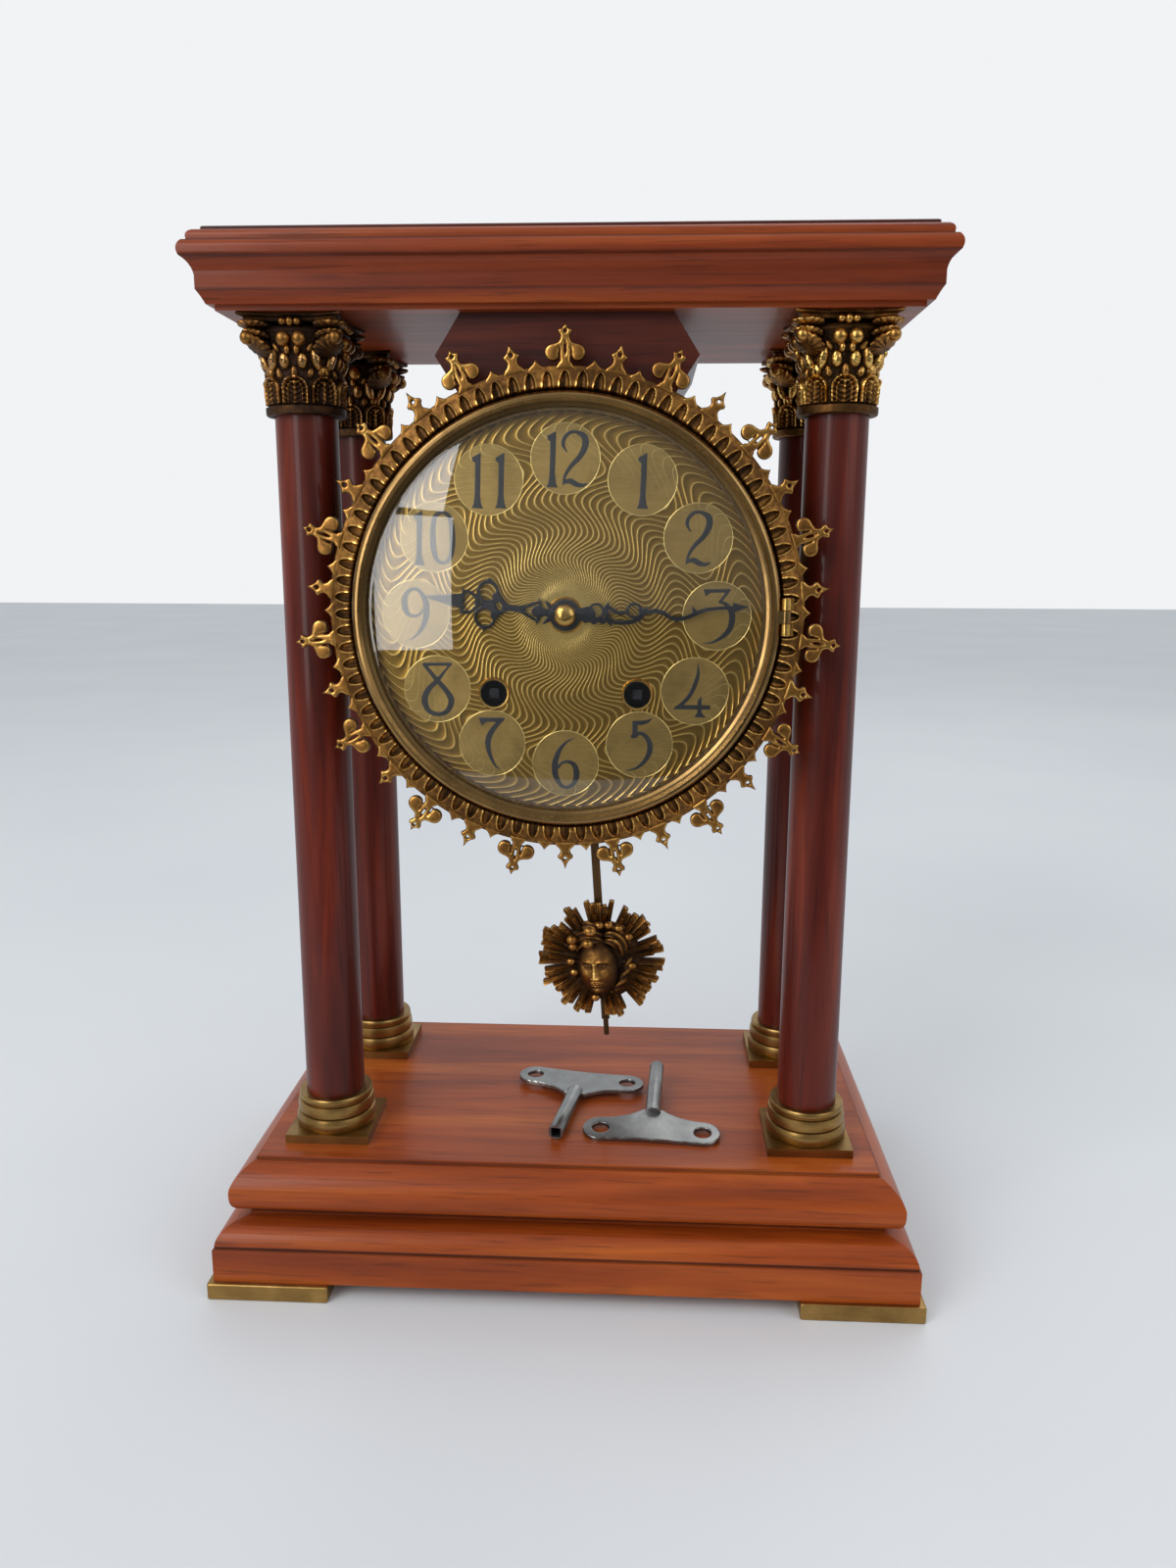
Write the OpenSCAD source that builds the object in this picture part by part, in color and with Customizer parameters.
// A portico table clock: a moulded wooden base and cornice on four turned columns,
// with a drum movement and a pendulum hung between them.
// X runs to the right, Y away from the viewer, Z up. The origin is the centre of the footprint.

/* [Case] */
// Width over the feet
base_w = 287.4; // [280:0.2:300]
// Depth over the feet
base_d = 172.2; // [170:0.2:180]
// Height of the feet
foot_h = 7; // [5:0.5:9]
// Length of a foot along the front
foot_l = 49.3; // [40:0.1:60]
// Depth of a foot
foot_d = 24; // [18:1:30]
// Height of the top of the base
base_top = 54.5; // [52:0.5:56]
// Height of the underside of the cornice
cornice_z = 381.3; // [380:0.1:384]
// Width of the underside of the cornice
cornice_w = 252.4; // [248:0.2:256]
// Depth of the underside of the cornice
cornice_d = 120.2; // [118:0.2:124]

/* [Columns] */
// Distance of the column axes from the middle, sideways
col_x = 100; // [98:0.5:102]
// Distance of the column axes from the middle, front to back
col_y = 40.8; // [39:0.1:42]
// Radius at the foot of a shaft
shaft_r1 = 12.1; // [11.5:0.1:12.5]
// Radius at the head of a shaft
shaft_r2 = 11.75; // [11:0.05:12]
// Half the side of a brass plinth under a column
plinth_half = 17.4; // [16.8:0.1:18]

/* [Dial] */
// Height of the dial's centre
dial_z = 274; // [272:0.5:276]
// Radius of the hinged ring
ring_r = 79; // [78.5:0.1:79.2]
// Number of gouged flutes round the fixed surround
flutes = 84; // [60:12:84]
// Number of trefoil finials round the surround
finials = 15; // [15:1:15]
// Distance of the winding squares from the middle, sideways
wind_x = 27; // [27:0.1:27]
// Distance of the winding squares below the dial's centre
wind_z = 29.5; // [29.5:0.1:29.5]

/* [Time shown] */
// Hour on the dial
show_hour = 9; // [0:1:11]
// Minute on the dial
show_minute = 14.5; // [0:0.5:59.5]

/* [Pendulum] */
// Height of the swing axis above the dial's centre
swing_z = 32; // [32:0.5:32]
// Height of the middle of the bob
bob_z = 118.5; // [112:0.5:122]
// Radius of the rays of the bob
bob_r = 28; // [26:0.5:30]
// Angle of the pendulum from plumb, to the right, in degrees
pendulum_angle = 3.8; // [-4:0.2:4]

/* [Hidden] */
$fn = 96;

// Colours
ORANGE_WOOD = "#a4552b";
RED_WOOD = "#7c3024";
DARK_WOOD = "#4a1d18";
AGED_BRASS = "#8a6d35";
DULL_BRASS = "#9c8144";
BRIGHT_BRASS = "#c9a84c";
BLUED_STEEL = "#1c1c22";
STEEL = "#a8abb0";

// Planes of the dial and the movement along Y, front to back
door_front = -69;
relief_front = -66;
surround_front = -63;
surround_back = -58;
dial_front = -61;
dial_t = 1;
ledge_y = -46;
plate_t = 2;
rear_plate_y = -16;
drum_back = 22;
swing_y = -4;

// Radii round the dial's axis
drum_r = 70;
wall = 1.2;
surround_seat_r = 66;
flute_r1 = 81.2;
flute_r2 = 86.4;
flute_y = -65.5;
flute_cutter_r = 1.75;
band_r = 88;
glass_r = 74;
glass_y = -65.6;
glass_t = 1.2;
dial_r = 74.5;

// Places of the arbors in the front view, from the dial's centre
GOING_BARREL = [wind_x, -wind_z];
STRIKE_BARREL = [-wind_x, -wind_z];
ESCAPE = [0, 19.5];
ANCHOR = [0, swing_z];
MINUTE_WHEEL = [-12.47, 7.2];
HAMMER = [-28.8, 27.9];
BELL = [-24, -8];

// Teeth and modules of the trains
great_n = 72;
great_m = 0.6667;
second_pinion_n = 10;
second_n = 60;
second_m = 0.6;
centre_pinion_n = 10;
centre_n = 80;
centre_m = 0.42;
third_pinion_n = 8;
third_n = 84;
third_m = 0.36;
escape_pinion_n = 7;
escape_n = 35;
cannon_n = 12;
minute_n = 36;
motion_m = 0.6;
minute_pinion_n = 10;
hour_n = 40;
hour_m = 0.576;
pin_n = 60;
pin_m = 0.5;
fly_pinion_n = 8;
ratchet_n = 24;
ratchet_r = 9;

// Bezier curve from a to c, drawn towards b
function curve(a, b, c, n = 8) =
    [for (i = [0 : n]) let (t = i / n) (1 - t) * (1 - t) * a + 2 * t * (1 - t) * b + t * t * c];
// Point at an angle, clockwise from 12 o'clock, seen from the front
function clock(angle, r) = [r * sin(angle), r * cos(angle)];
// Centre distance of a wheel and a pinion
function pair(m, n1, n2) = m * (n1 + n2) / 2;
// Meeting point of two circles, on the left of the way from a to b if side is 1
function meet(a, ra, b, rb, side) =
    let (v = b - a, d = norm(v), u = v / d, along = (ra * ra + d * d - rb * rb) / (2 * d))
    a + along * u + side * sqrt(ra * ra - along * along) * [-u[1], u[0]];
// Direction of b seen from a, in degrees
function heading(a, b) = atan2(b[1] - a[1], b[0] - a[0]);

SECOND = meet([0, 0], pair(second_m, second_n, centre_pinion_n), GOING_BARREL,
              pair(great_m, great_n, second_pinion_n), -1);
THIRD = meet([0, 0], pair(centre_m, centre_n, third_pinion_n), ESCAPE,
             pair(third_m, third_n, escape_pinion_n), -1);
PIN_WHEEL = meet([0, 0], norm([20.8, 2.88]), STRIKE_BARREL,
                 pair(great_m, great_n, second_pinion_n), -1);
FLY = PIN_WHEEL + pair(pin_m, pin_n, fly_pinion_n) * [cos(160), sin(160)];

// One tooth of a wheel: radial flanks and a pointed arch, [radius in modules, width in pitches]
WHEEL_TOOTH = [[-1.5, 0.40], [0, 0.40], [0.55, 0.28], [0.95, 0.08]];
// One leaf of a pinion
LEAF = [[-1.3, 0.24], [0, 0.34], [0.4, 0.2]];
// Outline of a toothed wheel, with tooth 0 at the given angle
function toothed(n, m, tooth, phase = 0) =
    let (r = n * m / 2, k = len(tooth))
    [for (i = [0 : n - 1], j = [0 : 2 * k - 1])
        let (s = j < k ? j : 2 * k - 1 - j, side = j < k ? -1 : 1, rr = r + tooth[s][0] * m,
             a = phase + 360 / n * (i + side * tooth[s][1] / 2 * r / rr))
        rr * [cos(a), sin(a)]];
// Phase that puts a tooth gap of an n-tooth wheel at an angle
function gap_at(n, angle) = angle + 180 / n;

// Places 2D children, drawn as seen from the front about the dial's centre, between y0 and y1
module plate_y(y0, y1) {
    translate([0, y1, dial_z]) rotate([90, 0, 0]) linear_extrude(y1 - y0) children();
}
// A cylinder along Y about a point of the front view
module rod_y(p, r, y0, y1) {
    translate([p[0], y1, dial_z + p[1]]) rotate([90, 0, 0]) cylinder(r = r, h = y1 - y0);
}
// Turns points [radius, y] about the line through p, along Y
module turned_y(points, p = [0, 0]) {
    translate([p[0], 0, dial_z + p[1]]) rotate([90, 0, 0])
        rotate_extrude() polygon([for (q = points) [q[0], -q[1]]]);
}
// A moulding whose outline is a rectangle at every height, from points [outward offset, z]
module moulding(half_x, half_y, profile) {
    n = len(profile);
    intersection() {
        translate([0, half_y + 30, 0]) rotate([90, 0, 0]) linear_extrude(2 * half_y + 60)
            polygon([for (p = profile) [half_x + p[0], p[1]],
                     for (i = [1 : n]) [-half_x - profile[n - i][0], profile[n - i][1]]]);
        translate([-half_x - 30, 0, 0]) rotate([90, 0, 90]) linear_extrude(2 * half_x + 60)
            polygon([for (p = profile) [half_y + p[0], p[1]],
                     for (i = [1 : n]) [-half_y - profile[n - i][0], profile[n - i][1]]]);
    }
}
// Puts children at the four columns
module at_columns() {
    for (sx = [-1, 1], sy = [-1, 1]) translate([sx * col_x, sy * col_y, 0]) children();
}

// Base
module foot(sx, sy) {
    color(DULL_BRASS)
        translate([sx * (base_w - foot_l) / 2, sy * (base_d - foot_d) / 2, foot_h / 2])
            cube([foot_l, foot_d, foot_h], center = true);
}
neck_z = 33.5;
nut_r = 8.5;
rod_r = 2.5;
module base_plinth() {
    profile = concat([[-2.3, foot_h], [-2.3, 20.6], [-3.2, 21], [-3.2, 21.8]],
                     curve([-3, 22], [-4.2, 29.6], [-14, 30]), [[-15, 30], [-15, neck_z]]);
    color(ORANGE_WOOD) difference() {
        moulding(base_w / 2, base_d / 2, profile);
        at_columns() translate([0, 0, -1]) cylinder(r = nut_r, h = neck_z + 2);
    }
}
module base_slab() {
    profile = concat([[-15.5, neck_z]], curve([-13, neck_z], [-8.4, 34.6], [-8.2, 40], 6),
                     curve([-8.2, 43], [-9.2, 48.5], [-16.5, 52.8]),
                     [[-17.4, 52.8], [-17.8, base_top]]);
    color(ORANGE_WOOD) difference() {
        moulding(base_w / 2, base_d / 2, profile);
        at_columns() {
            translate([0, 0, neck_z - 1]) cylinder(r = nut_r, h = 8);
            translate([0, 0, neck_z]) cylinder(r = rod_r + 0.1, h = 40);
        }
    }
}

// Columns
socket_depth = 3;
base_ring_top = 72.5;
capital_z = 346.5;
module column_base(sx, sy) {
    z = base_top;
    color(DULL_BRASS) translate([sx * col_x, sy * col_y, 0]) difference() {
        union() {
            translate([0, 0, z + 1.85]) cube([2 * plinth_half, 2 * plinth_half, 3.7], center = true);
            rotate_extrude() polygon(concat(
                [[0, z + 3.6], [15.9, z + 3.6]], curve([16.2, z + 3.8], [17.2, z + 6.6], [16.1, z + 9.4], 6),
                [[15.2, z + 9.8], [15.2, z + 10.4]],
                curve([15.9, z + 10.5], [16.1, z + 12.6], [15.6, z + 14.6], 4),
                [[14.7, z + 14.9], [14.7, z + 15.4]],
                curve([15.1, z + 15.5], [15.6, z + 16.8], [14.9, base_ring_top], 4),
                [[0, base_ring_top]]));
        }
        translate([0, 0, base_ring_top - socket_depth]) cylinder(r = shaft_r1 + 0.05, h = 10);
        translate([0, 0, z - 1]) cylinder(r = rod_r + 0.1, h = 30);
    }
}
module column_shaft(sx, sy) {
    z0 = base_ring_top - socket_depth;
    color(RED_WOOD) translate([sx * col_x, sy * col_y, z0]) difference() {
        cylinder(r1 = shaft_r1, r2 = shaft_r2, h = capital_z + socket_depth - z0);
        translate([0, 0, -1]) cylinder(r = rod_r + 0.1, h = 400);
    }
}

// Capital: a bell with two rows of leaves, corner volutes, berries and a hollow-sided abacus
leaf_n = 8;
abacus_half = 19;
// A round-arched leaf with a raised edge and a midrib, standing in the XY plane
module leaf(w, h) {
    translate([-w / 2, 0]) square([w, h - w / 2]);
    translate([0, h - w / 2]) circle(d = w, $fn = 24);
}
module leaf_row(n, r, z, w, h, lean, turn) {
    for (i = [0 : n - 1]) rotate([0, 0, turn + 360 / n * i]) translate([r, 0, z])
        rotate([90 - lean, 0, 90]) difference() {
            translate([0, 0, -2.2]) linear_extrude(3.4) leaf(w, h);
            translate([0, 0.4, 0.5]) linear_extrude(2) leaf(w * 0.66, h * 0.84);
        }
}
module volute() {
    for (k = [0 : 2]) translate([19.6 + 1.9 * k, 0, 370.6 + 3.1 * k]) rotate([90, 0, 0])
        cylinder(r = 3.1, h = 6.4 - 0.8 * k, center = true, $fn = 32);
    translate([12, -2.4, 364]) rotate([0, 52, 0]) cube([3.4, 4.8, 13]);
}
module capital(sx, sy) {
    color(AGED_BRASS) translate([sx * col_x, sy * col_y, 0]) difference() {
        union() {
            rotate_extrude() polygon(concat(
                [[0, capital_z], [14.6, capital_z], [14.9, capital_z + 0.6], [14.9, capital_z + 3],
                 [13.6, capital_z + 3.4]],
                curve([13.2, 350.4], [13.6, 364], [16.4, 374.5], 6), [[0, 374.5]]));
            leaf_row(leaf_n, 13.3, 350, 9.4, 13.2, -6, 0);
            leaf_row(leaf_n, 13.8, 358, 8, 12.4, -14, 180 / leaf_n);
            for (a = [45 : 90 : 315]) rotate([0, 0, a]) volute();
            for (a = [0 : 90 : 270]) rotate([0, 0, a]) {
                for (s = [-1, 1]) translate([16.6, 2.5 * s, 372]) sphere(r = 2.7, $fn = 32);
                translate([16.8, 0, 377.4]) sphere(r = 3, $fn = 32);
            }
            translate([0, 0, 374.4]) linear_extrude(cornice_z - 374.4) difference() {
                square(2 * abacus_half, center = true);
                for (a = [0 : 90 : 270]) rotate(a) translate([abacus_half + 31.4, 0]) circle(r = 34.5);
            }
        }
        translate([0, 0, capital_z - 1]) cylinder(r = shaft_r2 + 0.1, h = socket_depth + 1);
        translate([0, 0, capital_z - 1]) cylinder(r = rod_r + 0.1, h = 50);
    }
}

// Steel rods that clamp base, columns and cornice together, each with its nut under the base
module tie_rods() {
    color(STEEL) at_columns() {
        translate([0, 0, neck_z + 0.5]) cylinder(r = rod_r, h = 396 - neck_z);
        difference() {
            translate([0, 0, neck_z + 3]) cylinder(r = 5.8, h = 4, $fn = 6);
            translate([0, 0, neck_z]) cylinder(r = rod_r + 0.05, h = 20);
        }
    }
}

// Cornice
board_z = 407.2;
top_z = 409;
module cornice() {
    profile = concat([[0, cornice_z], [0, 382.9]],
                     curve([2.4, 383.1], [3.4, 385.4], [5, 387.6], 4),
                     curve([5, 392.3], [5.6, 396.2], [8.8, 398], 6),
                     curve([8.8, 398], [10.2, 401], [7.9, 403.3], 6),
                     [[6.6, 403.5]], curve([6.6, 404], [7.2, 406], [5, board_z], 4));
    color(ORANGE_WOOD) difference() {
        moulding(cornice_w / 2, cornice_d / 2, profile);
        at_columns() translate([0, 0, cornice_z - 1]) cylinder(r = rod_r + 0.1, h = 17);
    }
}
module cornice_top_board() {
    color(DARK_WOOD) moulding(cornice_w / 2, cornice_d / 2,
        [[2.6, board_z], [2.6, top_z - 0.5], [2.1, top_z]]);
}

// Block with pointed sides that hangs the drum from the cornice
block_tip = 48;
block_half = 38.5;
block_mid_z = 366.5;
block_front = -55;
block_back = 19;
module hanger_block() {
    up = cornice_z - dial_z;
    mid = block_mid_z - dial_z;
    color(DARK_WOOD) difference() {
        plate_y(block_front, block_back) polygon([
            [-block_half, up], [block_half, up], [block_tip, mid], [block_half, 2 * mid - up],
            [block_half, 60], [-block_half, 60], [-block_half, 2 * mid - up], [-block_tip, mid]]);
        rod_y([0, 0], drum_r + 0.05, block_front - 1, block_back + 1);
        for (y = HANGER_SCREWS_Y) translate([0, y, dial_z + 60]) cylinder(r = 1.8, h = 24);
    }
}
HANGER_SCREWS_Y = [-36, 6];
SURROUND_SCREWS = [45, 135, 225, 315];
surround_screw_r = 63;
// Two screws up through the drum into the block, and four that hold the surround to the drum
module case_screws() {
    head_z = dial_z + drum_r - wall;
    color(STEEL) {
        for (y = HANGER_SCREWS_Y) translate([0, y, 0]) {
            translate([0, 0, head_z - 2.4]) cylinder(r = 3.6, h = 2.2);
            translate([0, 0, head_z - 0.5]) cylinder(r = 1.75, h = 15);
        }
        for (a = SURROUND_SCREWS) {
            rod_y(clock(a, surround_screw_r), 1.2, surround_back - 1.5, surround_back + wall + 0.1);
            rod_y(clock(a, surround_screw_r), 2.2, surround_back + wall, surround_back + wall + 1.3);
        }
    }
}

// Drum: a sheet brass cylinder with a turned-in front flange, a ledge for the movement
// and a slot below for the pendulum
slot_half = 12;
door_axis = [drum_r + 2.6, drum_back - 1];
rear_seat_y = drum_back - 3;
module movement_drum() {
    color(DULL_BRASS) difference() {
        union() {
            turned_y([[drum_r, surround_back], [drum_r, rear_seat_y], [drum_r - wall, rear_seat_y],
                      [drum_r - wall, ledge_y], [58, ledge_y], [58, ledge_y - 1.6],
                      [drum_r - wall, ledge_y - 1.6], [drum_r - wall, surround_back + wall],
                      [58, surround_back + wall], [58, surround_back]]);
            for (z = [-8, 8]) difference() {
                hinge_knuckle(door_axis, z, 7.4);
                rod_y([0, 0], drum_r - 0.4, 0, 40);
            }
            difference() {
                translate([drum_r - 0.3, rear_seat_y - 5, dial_z - 11.7]) cube([2.9, 5, 23.4]);
                translate([door_axis[0], door_axis[1], dial_z - 4.4]) cylinder(r = 3.4, h = 8.8);
            }
        }
        translate([-slot_half, -14, dial_z - drum_r - 5]) cube([2 * slot_half, 26, 20]);
        for (y = HANGER_SCREWS_Y) translate([0, y, dial_z + 60]) cylinder(r = 1.8, h = 24);
        for (a = SURROUND_SCREWS)
            rod_y(clock(a, surround_screw_r), 1.25, surround_back - 1, surround_back + wall + 1);
        translate([door_axis[0], door_axis[1], dial_z - 20]) cylinder(r = 1.05, h = 40);
    }
}
// A hinge knuckle with a vertical axis at [x, y], its middle at height z over the dial's centre
module hinge_knuckle(axis, z, h, r = 2.4) {
    translate([axis[0], axis[1], dial_z + z - h / 2]) cylinder(r = r, h = h);
}
module rear_door() {
    color(DULL_BRASS) difference() {
        union() {
            turned_y([[0, drum_back], [60, drum_back], [drum_r - 0.5, drum_back - 1.4],
                      [drum_r + 0.2, drum_back - 2.8], [drum_r - 1.2, drum_back - 2.8],
                      [drum_r - 2, drum_back - 1.9], [60, drum_back - wall], [0, drum_back - wall]]);
            hinge_knuckle(door_axis, 0, 8);
            translate([drum_r - 4, drum_back - 1.5, dial_z - 4]) cube([5.2, 1.5, 8]);
            rod_y([-60, 0], 2, drum_back - 1, drum_back + 4);
            rod_y([-60, 0], 3.4, drum_back + 3.8, drum_back + 6.6);
        }
        translate([door_axis[0], door_axis[1], dial_z - 20]) cylinder(r = 1.05, h = 40);
    }
}

// Fixed surround: a cast ring with gouged flutes, trefoil and diamond finials
ring_axis = [80.6, -67.6];
knuckle_z = 4.6;
// Mirrors the right-hand side of an outline, listed upward, onto the left and joins both at the tip
function both_sides(side, tip) =
    concat(side, [[0, tip]], [for (i = [len(side) - 1 : -1 : 0]) [-side[i][0], side[i][1]]]);
finial_root = -1.2;
lobe_x = 4.45;
lobe_h = 4.15;
// A trefoil standing on the line y = 0: two curled lobes, a stem and a pierced diamond on a neck
module trefoil() {
    difference() {
        union() {
            for (s = [-1, 1]) translate([lobe_x * s, lobe_h]) circle(r = 2.75, $fn = 32);
            polygon(both_sides([[3.6, finial_root], [2.7, 0], [1.9, 2], [1.6, 3.6], [4.4, 3.6], [6.3, 5.9],
                [5.2, 6.85], [3.7, 7.2], [2.3, 7.7], [1.75, 8.6], [1.65, 9.8], [2.5, 11.2], [2.35, 11.9],
                [1, 12.2], [0.45, 13.2]], 14.2));
        }
        polygon([[1.62, 3.4], [2, 3.4], [2.15, 5], [1.95, 5.6], [1.8, 5]]);
        polygon([[-1.62, 3.4], [-1.8, 5], [-1.95, 5.6], [-2.15, 5], [-2, 3.4]]);
        polygon(both_sides([[0.1, 3.4], [0.42, 4.6], [0.38, 6.4]], 7.9));
        translate([0, 11.4]) circle(r = 0.62, $fn = 24);
    }
}
// A pierced ogee diamond on a waist
module small_finial() {
    difference() {
        polygon(both_sides([[4.2, finial_root], [3.4, 0.2], [2.2, 1.3], [1.75, 2.4], [2.05, 3.4], [2.95, 4.4],
            [2.85, 5], [1.5, 5.9], [0.7, 7.2]], 9.4));
        translate([0, 5.2]) circle(r = 0.72, $fn = 24);
    }
}
// A little peak with hollow flanks
module cusp() {
    polygon(both_sides([[3.4, finial_root], [2.6, -0.4], [1.2, 0.7], [0.45, 1.6]], 2.3));
}
cusp_angle = 6.8;
module surround_finials() {
    step = 360 / finials;
    for (i = [0 : finials - 1]) {
        rotate(step * i) translate([0, band_r]) trefoil();
        rotate(step * (i + 0.5)) translate([0, band_r]) small_finial();
        for (s = [-1, 1]) rotate(step * i + cusp_angle * s) translate([0, band_r]) cusp();
    }
}
module bezel_surround() {
    color(AGED_BRASS) difference() {
        union() {
            turned_y([[surround_seat_r - 6, surround_back - 1.6], [79.8, surround_back - 1.6],
                      [79.8, relief_front + 1.5], [80.6, relief_front], [82, relief_front],
                      [band_r - 1.4, surround_front - 0.2], [band_r, surround_front],
                      [band_r, surround_back], [surround_seat_r - 6, surround_back]]);
            plate_y(surround_front - 0.6, surround_back - 2) surround_finials();
            for (z = [-knuckle_z, knuckle_z]) {
                hinge_knuckle(ring_axis, z, 4.4, 1.7);
                translate([ring_axis[0] - 0.3, ring_axis[1], dial_z + z - 2.2]) cube([3.2, 4, 4.4]);
            }
        }
        for (i = [0 : flutes - 1]) flute_cut(360 / flutes * i);
        for (a = SURROUND_SCREWS)
            rod_y(clock(a, surround_screw_r), 1.25, surround_back - 2, surround_back + 1);
        translate([ring_axis[0], ring_axis[1], dial_z - 20]) cylinder(r = 0.85, h = 40);
        translate([ring_axis[0], ring_axis[1], dial_z - 2.3]) cylinder(r = 2.1, h = 4.6);
    }
}
// A gouge: a round cutter drawn outward level with the dial, which runs out of the sloping band in an arch
module flute_cut(a) {
    translate([0, 0, dial_z]) rotate([0, a, 0]) translate([0, flute_y, flute_r1])
        cylinder(r = flute_cutter_r, h = flute_r2 - flute_r1, $fn = 32);
}

// Hinged ring, its glass and the pins of both hinges
module bezel_ring() {
    color(BRIGHT_BRASS) difference() {
        union() {
            turned_y(concat([[glass_r - 1.6, -61.6], [ring_r, -61.6]],
                curve([ring_r, -66], [ring_r - 0.2, door_front], [ring_r - 2.6, door_front], 5),
                [[ring_r - 3.6, door_front + 1.4], [glass_r + 0.6, door_front + 1.6],
                 [glass_r - 0.4, door_front + 2], [glass_r - 0.4, glass_y], [glass_r + 0.05, glass_y],
                 [glass_r + 0.05, glass_y + glass_t], [glass_r - 1.6, glass_y + glass_t]]));
            hinge_knuckle(ring_axis, 0, 4.6, 1.7);
            translate([ring_axis[0] - 4, ring_axis[1] - 1.2, dial_z - 2.3]) cube([4, 2.4, 4.6]);
        }
        translate([ring_axis[0], ring_axis[1], dial_z - 20]) cylinder(r = 0.85, h = 40);
        for (z = [-knuckle_z, knuckle_z]) hinge_knuckle(ring_axis, z, 4.6, 2.1);
    }
}
module bezel_glass() {
    sag = 7.6;
    r = glass_r - 0.8;
    ball = (r * r + sag * sag) / (2 * sag);
    n = 12;
    color([0.85, 0.9, 0.9, 0.35]) turned_y(concat(
        [for (i = [0 : n]) let (a = asin(r / ball) * i / n)
            [ball * sin(a), glass_y - sag + ball * (1 - cos(a))]],
        [[glass_r, glass_y + 0.05], [glass_r, glass_y + glass_t - 0.05]],
        [for (i = [0 : n]) let (a = asin(r / ball) * (n - i) / n)
            [ball * sin(a), glass_y + glass_t - 0.05 - sag + ball * (1 - cos(a))]]));
}
module hinge_pins() {
    color(BRIGHT_BRASS) {
        translate([ring_axis[0], ring_axis[1], dial_z - 6.9]) cylinder(r = 0.8, h = 13.8);
        translate([door_axis[0], door_axis[1], dial_z - 11.9]) cylinder(r = 1, h = 23.8);
    }
}

// Dial: a thin plate with twelve plain discs standing proud, three feet behind
numeral_r = 56;
disc_r = 12.7;
DIAL_FEET = [30, 150, 270];
module dial_plate() {
    color(DULL_BRASS) difference() {
        union() {
            rod_y([0, 0], dial_r, dial_front, dial_front + dial_t);
            for (h = [1 : 12]) rod_y(clock(30 * h, numeral_r), disc_r, dial_front - 0.15, dial_front + 0.5);
            for (a = DIAL_FEET) rod_y(clock(a, 50), 1.3, dial_front + 0.5, ledge_y);
        }
        rod_y([0, 0], 4.4, dial_front - 5, 0);
        for (s = [-1, 1]) rod_y([s * wind_x, -wind_z], 5.6, dial_front - 5, 0);
    }
}
// Turned brass rims pressed into the two winding holes, and the one round the hands' arbor
module winding_hole_rims() {
    color(BRIGHT_BRASS) {
        for (s = [-1, 1]) turned_y([[5, dial_front - 0.9], [5.7, dial_front - 1], [6.2, dial_front - 0.05],
            [5.6, dial_front - 0.05], [5.6, dial_front + dial_t], [5, dial_front + dial_t]],
            [s * wind_x, -wind_z]);
        turned_y([[4, dial_front - 0.5], [6.4, dial_front - 0.6], [6.9, dial_front - 0.05],
            [4.4, dial_front - 0.05], [4.4, dial_front + dial_t], [4, dial_front + dial_t]]);
    }
}

// Hands, drawn pointing to 12 and turned to the time shown
hour_y = -63.1;
minute_y = -64.5;
hand_t = 0.7;
square_half = 1.5;
hour_angle = 30 * (show_hour + show_minute / 60);
minute_angle = 6 * show_minute;
// A pierced ring
module eye(p, r, w = 0.8) {
    translate(p) difference() {
        circle(r = r, $fn = 32);
        circle(r = r - w, $fn = 32);
    }
}
// Sideways half width of row i of a stroke
function stroke_side(rows, i) =
    let (a = rows[max(i - 1, 0)], b = rows[min(i + 1, len(rows) - 1)], d = [b[0] - a[0], b[1] - a[1]])
    [-d[1], d[0]] / norm(d) * rows[i][2];
// A tapering brush stroke through rows [x, y, half width]
module stroke(rows) {
    n = len(rows) - 1;
    polygon([for (i = [0 : n]) [rows[i][0], rows[i][1]] - stroke_side(rows, i),
             for (i = [n : -1 : 0]) [rows[i][0], rows[i][1]] + stroke_side(rows, i)]);
}
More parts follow.
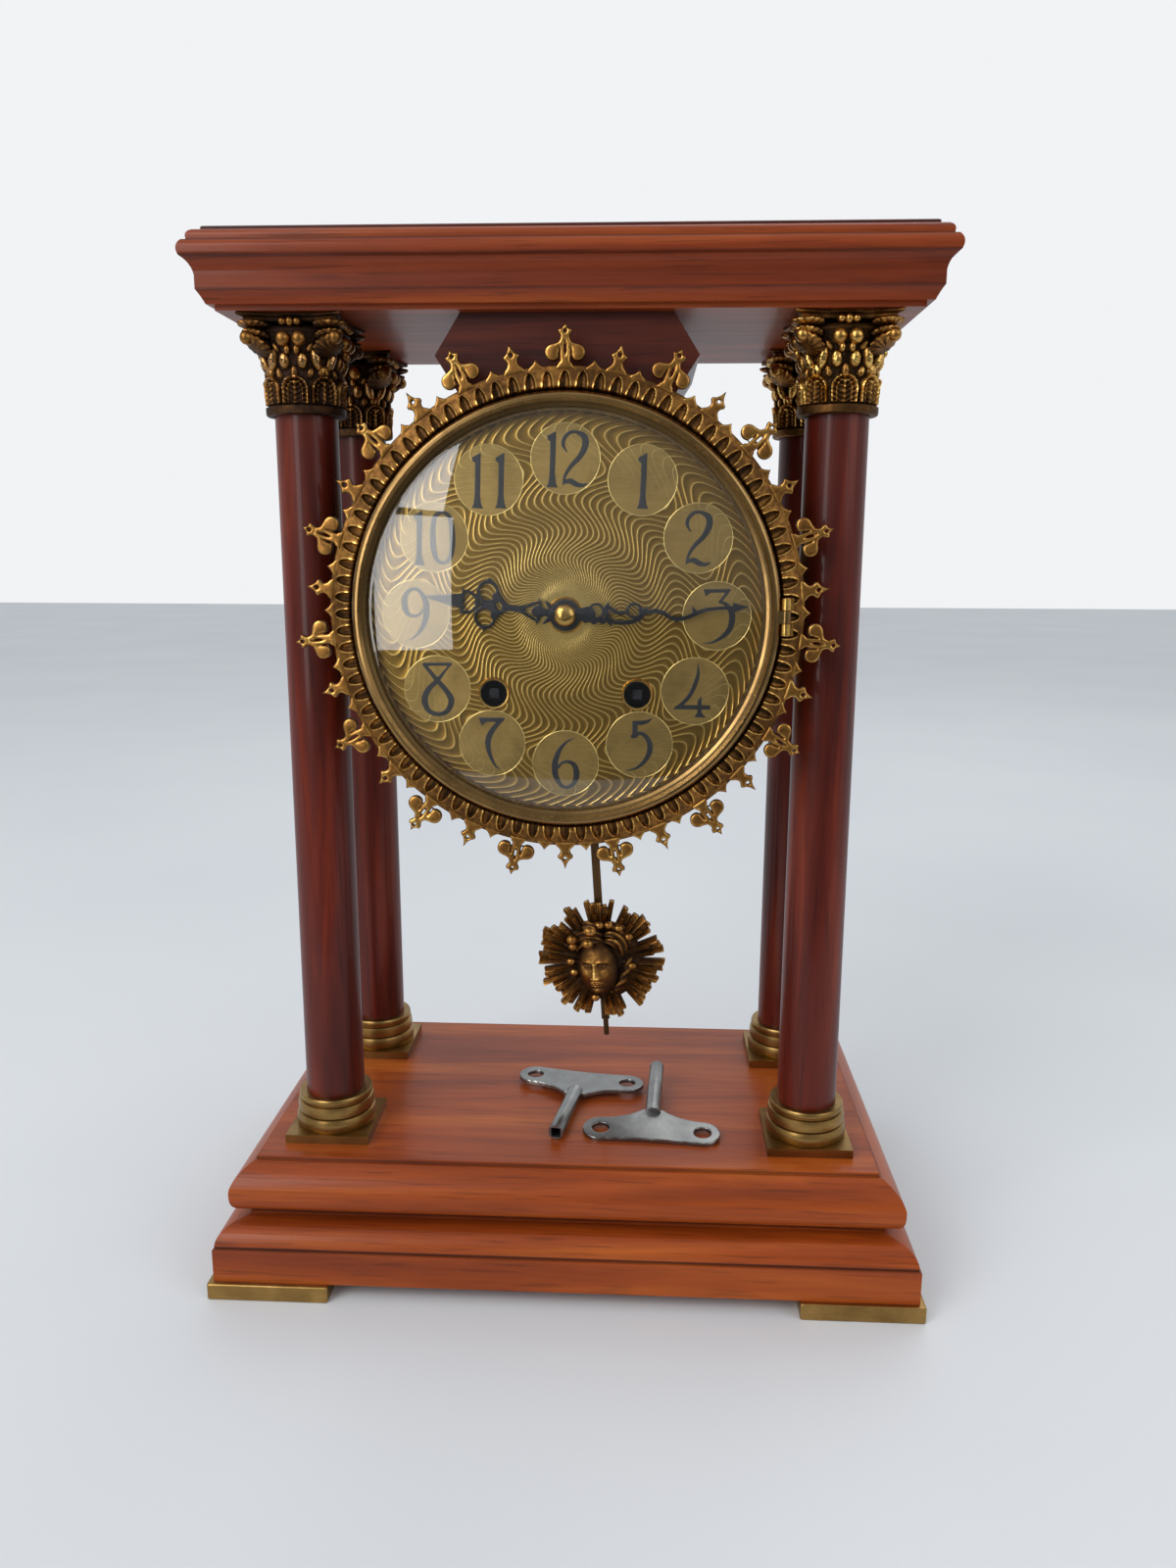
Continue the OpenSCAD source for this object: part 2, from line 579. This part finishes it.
// The same stroke on both sides of the middle line, drawn upward on the left as on the right
module stroke_pair(rows) {
    stroke(rows);
    stroke([for (r = rows) [-r[0], r[1], r[2]]]);
}
module hour_hand() {
    color(BLUED_STEEL) plate_y(hour_y, hour_y + hand_t) rotate(-hour_angle) difference() {
        union() {
            circle(r = 5.7);
            stroke([[0, 5, 1.5], [0, 7.6, 1.3], [0, 9, 1.8], [0, 10.4, 2.1]]);
            stroke_pair([[1.2, 4.9, 0.9], [2.7, 6.3, 0.8], [4.1, 7.7, 0.25]]);
            stroke_pair([[1.4, 9.7, 0.8], [3, 9.8, 0.55], [4.7, 10.2, 0.2]]);
            stroke_pair([[3.7, 10, 0.35], [2.8, 11.7, 0.5], [2, 13.5, 0.55], [1.2, 15.4, 0.5],
                         [0.6, 17.2, 0.5]]);
            stroke([[0, 15.3, 0.5], [0, 17.4, 1.15], [0, 20, 1], [0, 22.6, 1.2]]);
            stroke_pair([[0.5, 22, 0.7], [2.3, 24.2, 0.75], [1.8, 25.9, 0.6], [0.3, 27.6, 0.6]]);
            for (m = [-1, 1]) {
                translate([3.4 * m, 26]) circle(r = 1.5, $fn = 32);
                eye([4.7 * m, 29.5], 4.1, 1);
            }
            polygon([[8.4, 27.8], [9.9, 29.4], [8.4, 31]]);
            polygon([[-8.4, 27.8], [-8.4, 31], [-9.9, 29.4]]);
            stroke([[0, 26.8, 0.8], [0, 30, 0.6], [0, 33.4, 0.7]]);
            stroke_pair([[0.2, 32.6, 0.5], [2.5, 34, 0.5], [3.7, 36, 0.5], [3.9, 38.4, 0.5]]);
            stroke_pair([[0.5, 38.9, 0.55], [2.5, 38.3, 0.5], [4.7, 38.9, 0.2]]);
            polygon(both_sides([[2.8, 38.4], [2.3, 41], [1.45, 45.8], [0.9, 48.8]], 53.6));
        }
        circle(r = 3.42);
    }
}
module minute_hand() {
    color(BLUED_STEEL) plate_y(minute_y, minute_y + hand_t) rotate(-minute_angle) difference() {
        union() {
            circle(r = 5.7);
            stroke([[0, 5, 2], [0, 6.6, 2.4], [0, 8.4, 2.9]]);
            eye([-1, 11.6], 3, 0.85);
            stroke([[2.2, 7.4, 0.9], [2, 9.2, 0.7], [2.7, 10.6, 1.1], [2, 12.2, 0.7], [2.7, 13.7, 1.1],
                    [1.9, 15.6, 0.8]]);
            stroke([[-4.1, 16.3, 0.2], [-2.6, 15.4, 0.7], [0, 15.3, 0.9], [2.2, 15.7, 0.9], [4.7, 17, 0.2]]);
            stroke([[1.8, 15.4, 0.7], [3.2, 18, 0.7], [3.7, 21, 0.75], [3.5, 24.6, 0.8], [2.4, 27.4, 0.8],
                    [0.2, 29.3, 0.8]]);
            stroke([[-2.8, 15.8, 0.5], [-0.6, 18.4, 0.7], [0.2, 20.4, 0.7], [-0.2, 23, 0.6]]);
            eye([-0.6, 25.6], 2.9, 0.9);
            stroke([[-0.6, 28, 0.9], [0.2, 30.4, 0.8], [-0.1, 33.4, 0.75], [0.9, 36.4, 0.75], [2.7, 39, 0.75],
                    [3.3, 41.2, 0.85], [3, 43.6, 0.75], [2.4, 46, 0.75], [1.2, 49, 0.7], [0.3, 52, 0.65],
                    [0, 56, 0.6], [0, 63, 0.6]]);
            polygon([[-1.9, 30.4], [-0.6, 28.6], [0.2, 30.8]]);
            polygon([[3.4, 40.2], [4.6, 40.4], [3.6, 42.4]]);
            polygon([[-1.4, 46.6], [2, 47], [1.2, 49.2]]);
            polygon(both_sides([[0.3, 61.6], [1.8, 61.8], [0.8, 64.6]], 67.7));
        }
        square(2 * square_half + 0.1, center = true);
    }
}
module hand_nut() {
    color(BRIGHT_BRASS) difference() {
        turned_y(concat([[0, minute_y - 2.6]],
                        curve([1.2, minute_y - 2.6], [3.9, minute_y - 2.2], [4.2, minute_y - 0.05], 6),
                 [[0, minute_y - 0.05]]));
        rod_y([0, 0], 0.9, minute_y - 1.8, minute_y + 1);
    }
}

// Movement plates. The pillars are riveted to the front plate and the bell post to the rear one.
plate_r = 62;
PILLARS = [[0, 54], [0, -54], [52, 6], [-52, 6]];
pivot_r = 0.8;
function arbor_places() = [SECOND, THIRD, ESCAPE, ANCHOR, PIN_WHEEL, FLY, HAMMER];
module front_plate() {
    y0 = ledge_y;
    color(BRIGHT_BRASS) difference() {
        union() {
            rod_y([0, 0], plate_r, y0, y0 + plate_t);
            for (p = PILLARS) turned_y([[0, y0 + 1], [3.2, y0 + 1], [3.2, y0 + 7], [2.4, y0 + 9],
                [2.4, rear_plate_y - 9], [3.2, rear_plate_y - 7], [3.2, rear_plate_y], [0, rear_plate_y]], p);
            rod_y(MINUTE_WHEEL, 1.2, y0 - 6.2, y0 + 1);
            for (s = [-1, 1]) rod_y([s * CLICK_PIN[0], CLICK_PIN[1]], 1.2, y0 - 3.4, y0 + 1);
        }
        for (p = arbor_places()) rod_y(p, pivot_r + 0.05, y0 - 1, y0 + plate_t + 1);
        rod_y([0, 0], 1.55, y0 - 1, y0 + plate_t + 1);
        for (p = [GOING_BARREL, STRIKE_BARREL]) rod_y(p, 3.05, y0 - 1, y0 + plate_t + 1);
        rod_y([0, -54], 1, rear_plate_y - 8, rear_plate_y + 1);
    }
}
bell_apex = 16;
module rear_plate() {
    y0 = rear_plate_y;
    color(BRIGHT_BRASS) difference() {
        union() {
            rod_y([0, 0], plate_r, y0, y0 + plate_t);
            turned_y([[0, y0 + 1], [3.4, y0 + 1], [3.4, y0 + 5], [1.9, y0 + 7],
                      [1.9, bell_apex], [0, bell_apex]], BELL);
        }
        for (p = arbor_places()) rod_y(p, pivot_r + 0.05, y0 - 1, y0 + plate_t + 1);
        rod_y(ANCHOR, 5, y0 - 1, y0 + plate_t + 1);
        rod_y([0, 0], pivot_r + 0.05, y0 - 1, y0 + plate_t + 1);
        for (p = [GOING_BARREL, STRIKE_BARREL]) rod_y(p, 2.05, y0 - 1, y0 + plate_t + 1);
    }
}

// A wheel: toothed rim, crossings and hub, between y0 and y1
module wheel(p, n, m, y0, y1, phase, arms = 5, hub = 3, bore = 0, tooth = WHEEL_TOOTH) {
    root = n * m / 2 - 1.5 * m;
    plate_y(y0, y1) translate(p) difference() {
        polygon(toothed(n, m, tooth, phase));
        if (arms > 0) difference() {
            circle(r = root - 1.6);
            circle(r = hub);
            for (i = [0 : arms - 1]) rotate(360 / arms * i) translate([0, -0.8]) square([root, 1.6]);
        }
        if (bore > 0) circle(r = bore);
    }
}
module pinion(p, n, m, y0, y1, phase) {
    plate_y(y0, y1) translate(p) polygon(toothed(n, m, LEAF, phase));
}
// An arbor with a thin pivot at each plate
module arbor(p, r, y0 = ledge_y + plate_t, y1 = rear_plate_y) {
    rod_y(p, r, y0 + 0.2, y1 - 0.2);
    rod_y(p, pivot_r, y0 - plate_t, y1 + plate_t);
}

// Barrels: a drum and cover with the great wheel cut on the rear flange, running on the winding arbor
great_y = -31;
module barrel(p, phase) {
    r = great_n * great_m / 2;
    color(BRIGHT_BRASS) difference() {
        union() {
            rod_y(p, 21, -43, great_y + 0.1);
            wheel(p, great_n, great_m, great_y, great_y + 1.8, phase, 0);
            rod_y(p, 5, -43.5, great_y + 2.3);
        }
        rod_y(p, 19.8, -42, great_y - 1.2);
        rod_y(p, 3.06, -60, 0);
    }
}
module winding_arbor(p) {
    color(STEEL) {
        rod_y(p, 3, ledge_y + 0.4, rear_plate_y - 0.4);
        rod_y(p, 2, rear_plate_y - 0.5, rear_plate_y + plate_t);
        rod_y(p, 3, ledge_y - 2.4, ledge_y + 0.5);
        plate_y(dial_front + 0.5, ledge_y - 2) translate(p) square(3.6, center = true);
        plate_y(ledge_y - 2.2, ledge_y - 0.4) translate(p) polygon([for (i = [0 : ratchet_n - 1], k = [0 : 1])
            (k == 0 ? ratchet_r : ratchet_r - 1.1) * [cos(360 / ratchet_n * i), sin(360 / ratchet_n * i)]]);
    }
}
// Clicks hang outside the ratchets, drawn at the top of their lift
CLICK_PIN = [wind_x + 10.5, -wind_z - 9.5];
CLICK_NOSE = [wind_x, -wind_z] + (ratchet_r + 0.5) * [cos(6), sin(6)];
module click(side) {
    reach = norm(CLICK_NOSE - CLICK_PIN);
    color(STEEL) mirror([side < 0 ? 1 : 0, 0, 0]) plate_y(ledge_y - 2.2, ledge_y - 0.4) difference() {
        translate(CLICK_PIN) union() {
            circle(r = 2.6, $fn = 32);
            rotate(heading(CLICK_PIN, CLICK_NOSE))
                polygon([[0, -1.8], [reach, -0.6], [reach, 0.1], [0, 2.2]]);
        }
        translate(CLICK_PIN) circle(r = 1.25, $fn = 32);
    }
}

// Going train
module second_wheel() {
    color(BRIGHT_BRASS) {
        arbor(SECOND, 1.5);
        wheel(SECOND, second_n, second_m, -22.5, -21.5, gap_at(second_n, heading(SECOND, [0, 0])));
    }
    color(STEEL) pinion(SECOND, second_pinion_n, great_m, great_y - 0.6, great_y + 2.6,
        gap_at(second_pinion_n, heading(SECOND, GOING_BARREL)));
}
module centre_wheel() {
    color(STEEL) {
        rod_y([0, 0], 1.5, ledge_y - 0.2, rear_plate_y - 0.2);
        rod_y([0, 0], 1, minute_y - 0.05, ledge_y);
        rod_y([0, 0], 0.85, minute_y - 1.6, minute_y);
        rod_y([0, 0], pivot_r, -20, rear_plate_y + plate_t);
        pinion([0, 0], centre_pinion_n, second_m, -23.4, -20.6, heading([0, 0], SECOND));
    }
    color(BRIGHT_BRASS) wheel([0, 0], centre_n, centre_m, -26.4, -25.4,
        gap_at(centre_n, heading([0, 0], THIRD)));
}
module third_wheel() {
    color(STEEL) pinion(THIRD, third_pinion_n, centre_m, -27.4, -24.4, heading(THIRD, [0, 0]));
    color(BRIGHT_BRASS) {
        arbor(THIRD, 1);
        wheel(THIRD, third_n, third_m, -37.2, -36.4, gap_at(third_n, heading(THIRD, ESCAPE)));
    }
}
escape_r = 8.6;
module escape_wheel() {
    color(STEEL) pinion(ESCAPE, escape_pinion_n, third_m, -38.2, -35.4, heading(ESCAPE, THIRD));
    color(BRIGHT_BRASS) {
        arbor(ESCAPE, 0.9);
        plate_y(-31.2, -30.2) translate(ESCAPE) difference() {
            polygon([for (i = [0 : escape_n - 1], k = [0 : 2])
                let (a = 360 / escape_n * (i + [0, 0.12, 0.55][k]))
                [escape_r, escape_r - 0.1, escape_r - 1.7][k] * [cos(a), sin(a)]]);
            difference() {
                circle(r = 5.6);
                circle(r = 2.2);
                for (i = [0 : 4]) rotate(72 * i) translate([0, -0.5]) square([6, 1]);
            }
        }
    }
}

// Turns what swings with the pendulum about the swing axis
module swung() {
    translate([0, 0, dial_z + swing_z]) rotate([0, -pendulum_angle, 0]) translate([0, 0, -dial_z - swing_z])
        children();
}

// Anchor with its crutch behind the rear plate
module pallet_anchor() {
    span = 8.4;
    drop = 7.6;
    swung() color(STEEL) {
        rod_y(ANCHOR, 1.1, ledge_y + plate_t + 0.2, rear_plate_y - 0.2);
        rod_y(ANCHOR, pivot_r, ledge_y, rear_plate_y);
        rod_y(ANCHOR, 1.6, rear_plate_y - 0.4, -10.4);
        rod_y(ANCHOR, pivot_r, -10.6, -8.6);
        plate_y(-32.2, -29.2) translate(ANCHOR) difference() {
            polygon([[-2.2, 1.6], [2.2, 1.6], [span + 1.4, -drop + 1.8], [span + 1.5, -drop - 0.6],
                     [span + 0.3, -drop - 0.2], [span - 1, -drop + 2.6], [0, -2.2],
                     [-span + 1, -drop + 2.6], [-span - 0.3, -drop - 0.2], [-span - 1.5, -drop - 0.6],
                     [-span - 1.4, -drop + 1.8]]);
        }
    }
    swung() color(DULL_BRASS) {
        plate_y(-12.6, -11.4) translate(ANCHOR) translate([-1, -46]) square([2, 46]);
        for (s = [-1, 1]) translate([s * 2.6 - 0.5, -12, dial_z + ANCHOR[1] - 46]) cube([1, 10, 1.6]);
        translate([-3.1, -12.6, dial_z + ANCHOR[1] - 46]) cube([6.2, 1.2, 1.6]);
    }
}

// Cock on the rear plate: carries the anchor's rear pivot and the suspension
module back_cock() {
    color(BRIGHT_BRASS) difference() {
        union() {
            translate([-17, rear_plate_y + plate_t, dial_z + ANCHOR[1] - 4]) cube([6, 5.4, 8]);
            translate([11, rear_plate_y + plate_t, dial_z + ANCHOR[1] - 4]) cube([6, 5.4, 8]);
            translate([-17, -8.8, dial_z + ANCHOR[1] - 4]) cube([34, 1.4, 8]);
            translate([-3, -8, dial_z + ANCHOR[1] + 5]) cube([6, 7, 5]);
            translate([-3, -8.8, dial_z + ANCHOR[1] + 1]) cube([6, 1.4, 9]);
        }
        rod_y(ANCHOR, pivot_r + 0.05, -10, -5);
        translate([-4, swing_y - 0.3, dial_z + ANCHOR[1] + 4]) cube([8, 0.6, 4]);
        translate([-10, swing_y, dial_z + ANCHOR[1] + 8.2]) rotate([0, 90, 0]) cylinder(r = 0.65, h = 20);
    }
}

// Pendulum
rod_w = 3.6;
hook_z = dial_z + swing_z - 12;
module suspension_spring() {
    top = dial_z + swing_z + 3.6;
    swung() color(STEEL) {
        for (x = [-2, 0.8]) translate([x, swing_y - 0.1, hook_z + 3]) cube([1.2, 0.2, top - hook_z - 3]);
        translate([-2.4, swing_y - 0.8, hook_z + 0.5]) cube([4.8, 1.6, 3]);
    }
}
module pendulum_rod() {
    bottom = 82;
    flat_end = bob_z - bob_r - 1;
    swung() color(DULL_BRASS) {
        translate([-rod_w / 2, swing_y - 0.5, flat_end]) cube([rod_w, 1, hook_z + 0.5 - flat_end]);
        translate([0, swing_y, bottom]) cylinder(r = 1.15, h = flat_end + 1 - bottom);
    }
}
// Bob: a sunburst of stepped rays round a plain domed disc, with a sleeve for the rod behind
ray_groups = 12;
module pendulum_bob() {
    swung() color(AGED_BRASS) translate([0, swing_y, bob_z]) rotate([90, 0, 0]) difference() {
        union() {
            cylinder(r = 17, h = 5);
            for (i = [0 : ray_groups - 1], k = [-1 : 1]) rotate([0, 0, 360 / ray_groups * i + 8.6 * k])
                translate([-1.7, 10, 1])
                    cube([3.4, bob_r - 10 - (k == 0 ? 0 : 2.6) - (i % 2) * 1.4, 3 - 0.7 * abs(k)]);
            intersection() {
                translate([0, 0, -6]) sphere(r = 17.6);
                translate([0, 0, 4.9]) cylinder(r = 14, h = 8);
            }
        }
        translate([-rod_w / 2 - 0.05, -40, -1]) cube([rod_w + 0.1, 80, 1.55]);
    }
}

// Motion work
module cannon_pinion() {
    color(STEEL) difference() {
        union() {
            pinion([0, 0], cannon_n, motion_m, -49.4, -46.6, heading([0, 0], MINUTE_WHEEL));
            rod_y([0, 0], 2.3, minute_y + hand_t + 0.05, -46.6);
            plate_y(minute_y + 0.05, minute_y + hand_t + 0.7) rotate(-minute_angle)
                square(2 * square_half, center = true);
        }
        rod_y([0, 0], 1.03, -70, -40);
    }
}
module minute_wheel() {
    a = heading(MINUTE_WHEEL, [0, 0]);
    color(BRIGHT_BRASS) difference() {
        union() {
            wheel(MINUTE_WHEEL, minute_n, motion_m, -48.9, -47.7, gap_at(minute_n, a), 4, 3.4);
            pinion(MINUTE_WHEEL, minute_pinion_n, hour_m, -51.9, -48.8, gap_at(minute_pinion_n, a));
        }
        rod_y(MINUTE_WHEEL, 1.25, -60, -40);
    }
}
module hour_wheel() {
    color(BRIGHT_BRASS) difference() {
        union() {
            wheel([0, 0], hour_n, hour_m, -51.5, -50.3, heading([0, 0], MINUTE_WHEEL), 4, 4.4);
            rod_y([0, 0], 3.4, hour_y - 0.1, -50.3);
        }
        rod_y([0, 0], 2.36, -70, -40);
    }
}

// Strike train
module pin_wheel() {
    color(STEEL) pinion(PIN_WHEEL, second_pinion_n, great_m, great_y - 0.6, great_y + 2.6,
        gap_at(second_pinion_n, heading(PIN_WHEEL, STRIKE_BARREL)));
    color(BRIGHT_BRASS) {
        arbor(PIN_WHEEL, 1.5);
        wheel(PIN_WHEEL, pin_n, pin_m, -20, -19, gap_at(pin_n, heading(PIN_WHEEL, FLY)));
        for (i = [0 : 7]) rod_y(PIN_WHEEL + 12.6 * [cos(45 * i), sin(45 * i)], 0.5, -19.1, -17.4);
    }
}
module strike_fly() {
    color(STEEL) {
        arbor(FLY, 0.9);
        pinion(FLY, fly_pinion_n, pin_m, -21, -18, heading(FLY, PIN_WHEEL));
    }
    color(BRIGHT_BRASS) translate([FLY[0], -30, dial_z + FLY[1]]) rotate([0, 30, 0])
        cube([16, 11, 0.8], center = true);
}
hammer_arm = 22;
module hammer() {
    head = HAMMER - hammer_arm * [0.7071, 0.7071];
    color(STEEL) {
        arbor(HAMMER, 1.2);
        rod_y(HAMMER, pivot_r, rear_plate_y, rear_plate_y + plate_t + 0.4);
        rod_y(HAMMER, 1.2, rear_plate_y + plate_t + 0.2, 8.4);
        plate_y(6, 7.4) translate(HAMMER) rotate(225) translate([0, -1]) square([hammer_arm, 2]);
        plate_y(-18.6, -17.6) translate(HAMMER) rotate(heading(HAMMER, PIN_WHEEL)) translate([0, -0.9])
            square([15.8, 1.8]);
    }
    color(BRIGHT_BRASS) rod_y(head, 3.2, 3, 10.4);
}
// Bell: a turned dome, mouth to the front
module bell() {
    color(DULL_BRASS) turned_y(concat(
        [[1.95, bell_apex - 1.2]], curve([8, bell_apex - 1.2], [22, bell_apex - 2.4], [23.6, 2], 8),
        [[25, 2]], curve([25, 2], [23.6, bell_apex], [8, bell_apex], 8), [[1.95, bell_apex]]), BELL);
}

// Winding keys: a pressed butterfly plate let into the end of a hollow shank with a square socket
key_t = 1.8;
key_reach = 50;
shank_r = 3.3;
shank_start = 12;
wing_x = 21.6;
wing_r = 7.5;
eye_r = 3.6;
socket = 3.7;
socket_deep = 16;
module key_plate() {
    difference() {
        union() {
            for (s = [-1, 1]) translate([s * wing_x, 0]) circle(r = wing_r);
            polygon(concat(curve([-wing_x, -wing_r], [0, -5.6], [wing_x, -wing_r]),
                curve([wing_x, wing_r], [11, 8.2], [4.5, 14.6], 5),
                curve([-4.5, 14.6], [-11, 8.2], [-wing_x, wing_r], 5)));
        }
        for (s = [-1, 1]) translate([s * wing_x, 0]) circle(r = eye_r);
    }
}
// A key lying on the base. A tipped one rests on the straight edge of its plate and the near end of
// its shank, the other one on the whole of its shank.
module key(at, facing, tipped) {
    tip = tipped ? atan((shank_r - key_t / 2) / (shank_start + wing_r)) : 0;
    lift = tipped ? wing_r * sin(tip) + key_t / 2 * cos(tip) : shank_r;
    color(STEEL) translate([at[0], at[1], base_top + lift + 0.01]) rotate([0, 0, -facing]) rotate([tip, 0, 0])
        difference() {
            union() {
                translate([0, 0, -key_t / 2]) linear_extrude(key_t) key_plate();
                translate([0, shank_start, 0]) rotate([-90, 0, 0])
                    cylinder(r = shank_r, h = key_reach - shank_start);
            }
            translate([-socket / 2, key_reach - socket_deep, -socket / 2])
                cube([socket, socket_deep + 1, socket]);
        }
}

foot(-1, -1);  // foot_front_left
foot(1, -1);  // foot_front_right
foot(-1, 1);  // foot_rear_left
foot(1, 1);  // foot_rear_right
base_plinth();
base_slab();
column_base(-1, -1);  // column_base_front_left
column_base(1, -1);  // column_base_front_right
column_base(-1, 1);  // column_base_rear_left
column_base(1, 1);  // column_base_rear_right
column_shaft(-1, -1);  // column_shaft_front_left
column_shaft(1, -1);  // column_shaft_front_right
column_shaft(-1, 1);  // column_shaft_rear_left
column_shaft(1, 1);  // column_shaft_rear_right
capital(-1, -1);  // capital_front_left
capital(1, -1);  // capital_front_right
capital(-1, 1);  // capital_rear_left
capital(1, 1);  // capital_rear_right
tie_rods();
cornice();
cornice_top_board();
hanger_block();
case_screws();
movement_drum();
rear_door();
hinge_pins();
bezel_surround();
bezel_ring();
bezel_glass();
dial_plate();
winding_hole_rims();
hour_hand();
minute_hand();
hand_nut();
front_plate();
rear_plate();
barrel(GOING_BARREL, heading(GOING_BARREL, SECOND));  // going_barrel
barrel(STRIKE_BARREL, heading(STRIKE_BARREL, PIN_WHEEL));  // strike_barrel
winding_arbor(GOING_BARREL);  // going_winding_arbor
winding_arbor(STRIKE_BARREL);  // strike_winding_arbor
click(1);  // going_click
click(-1);  // strike_click
second_wheel();
centre_wheel();
third_wheel();
escape_wheel();
pallet_anchor();
back_cock();
suspension_spring();
pendulum_rod();
pendulum_bob();
cannon_pinion();
minute_wheel();
hour_wheel();
pin_wheel();
strike_fly();
hammer();
bell();
key([35.2, -43.6], 3.3, true);  // key_right
key([3.1, -0.2], 189.3, false);  // key_left
